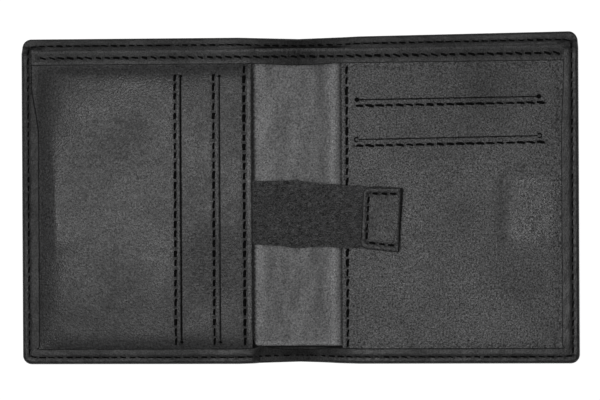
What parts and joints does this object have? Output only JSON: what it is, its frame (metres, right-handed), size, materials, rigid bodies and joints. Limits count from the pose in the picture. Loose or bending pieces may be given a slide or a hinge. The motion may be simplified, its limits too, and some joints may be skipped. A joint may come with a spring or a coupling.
{
  "type": "folding wallet",
  "caption": "Leather wallet that folds like a book, with a note compartment, upright and level card slots, and a strap that pulls cards out of the left pocket.",
  "frame": {"origin": "under the middle of the spine, on the outer face, with the wallet lying open", "axes": "+X across the open wallet towards the half with level slots, +Y towards the note compartment's mouth, +Z out of the inner face"},
  "size_m": [0.185, 0.108, 0.0062],
  "materials": {
    "shell_leather": "fine grained, semi-matt",
    "shell_cloth": "plain weave lining cloth",
    "divider_leather": "smooth, satin, with fine creases",
    "facing_leather": "fine grained, semi-matt",
    "panel_leather": "fine pebbled grain, semi-matt",
    "slot_cloth": "plain weave lining cloth",
    "strap_leather": "napped flesh side, matt",
    "thread": "twisted sewing thread, matt"
  },
  "bodies": {
    "left_half": {"shell_left": "shell_leather", "shell_lining_left": "shell_cloth", "divider_left": "divider_leather", "facing_left": "facing_leather", "left_panel": "panel_leather", "left_outer_slot_lining": "slot_cloth", "left_inner_slot_lining": "slot_cloth", "edge_thread_left": "thread", "facing_thread_left": "thread", "left_mouth_thread": "thread", "left_outer_slot_thread": "thread", "left_inner_slot_thread": "thread"},
    "spine": {"shell_spine": "shell_leather", "shell_lining_spine": "shell_cloth", "divider_spine": "divider_leather", "facing_spine": "facing_leather", "hem_thread_spine": "thread", "facing_thread_spine": "thread"},
    "right_half": {"shell_right": "shell_leather", "shell_lining_right": "shell_cloth", "divider_right": "divider_leather", "facing_right": "facing_leather", "right_panel": "panel_leather", "right_upper_slot_lining": "slot_cloth", "right_lower_slot_lining": "slot_cloth", "edge_thread_right": "thread", "facing_thread_right": "thread", "right_mouth_thread": "thread", "right_upper_slot_thread": "thread", "right_lower_slot_thread": "thread"},
    "strap_inner": {"strap_inner_run": "strap_leather", "pusher_thread": "thread"},
    "strap_mouth": {"strap_mouth_run": "strap_leather"},
    "strap_bridge": {"strap_bridge_run": "strap_leather"},
    "strap_tip": {"strap_tip_run": "strap_leather"},
    "strap_tab": {"strap_tab_end": "strap_leather", "tab_thread": "thread"}
  },
  "joints": [
    {"name": "left_fold", "type": "hinge", "parent": "left_half", "child": "spine", "pos_m": [-0.0055, 0, 0.0006], "axis": [0, -1, 0], "range_deg": [0, 90]},
    {"name": "right_fold", "type": "hinge", "parent": "spine", "child": "right_half", "pos_m": [0.0055, 0, 0.0006], "axis": [0, -1, 0], "range_deg": [0, 90]},
    {"name": "strap_pull", "type": "slide", "parent": "left_half", "child": "strap_inner", "axis": [-0.999, 0.0436, 0], "range_m": [-0.04, 0]},
    {"name": "strap_lift", "type": "hinge", "parent": "strap_inner", "child": "strap_mouth", "pos_m": [-0.0135, 0, 0.00405], "axis": [0, 1, 0], "range_deg": [-60, 0]},
    {"name": "strap_left_bend", "type": "hinge", "parent": "strap_mouth", "child": "strap_bridge", "pos_m": [-0.0055, 0, 0.0006], "axis": [0, -1, 0], "range_deg": [0, 90]},
    {"name": "strap_right_bend", "type": "hinge", "parent": "strap_bridge", "child": "strap_tip", "pos_m": [0.0055, 0, 0.0006], "axis": [0, -1, 0], "range_deg": [0, 90]},
    {"name": "tab_lift", "type": "hinge", "parent": "strap_tip", "child": "strap_tab", "pos_m": [0.0208, 0, 0.00405], "axis": [0, 1, 0], "range_deg": [-80, 0]}
  ],
  "couplings": [
    {"joint": "strap_left_bend", "follows": "left_fold", "ratio": 1},
    {"joint": "strap_right_bend", "follows": "right_fold", "ratio": 1}
  ]
}
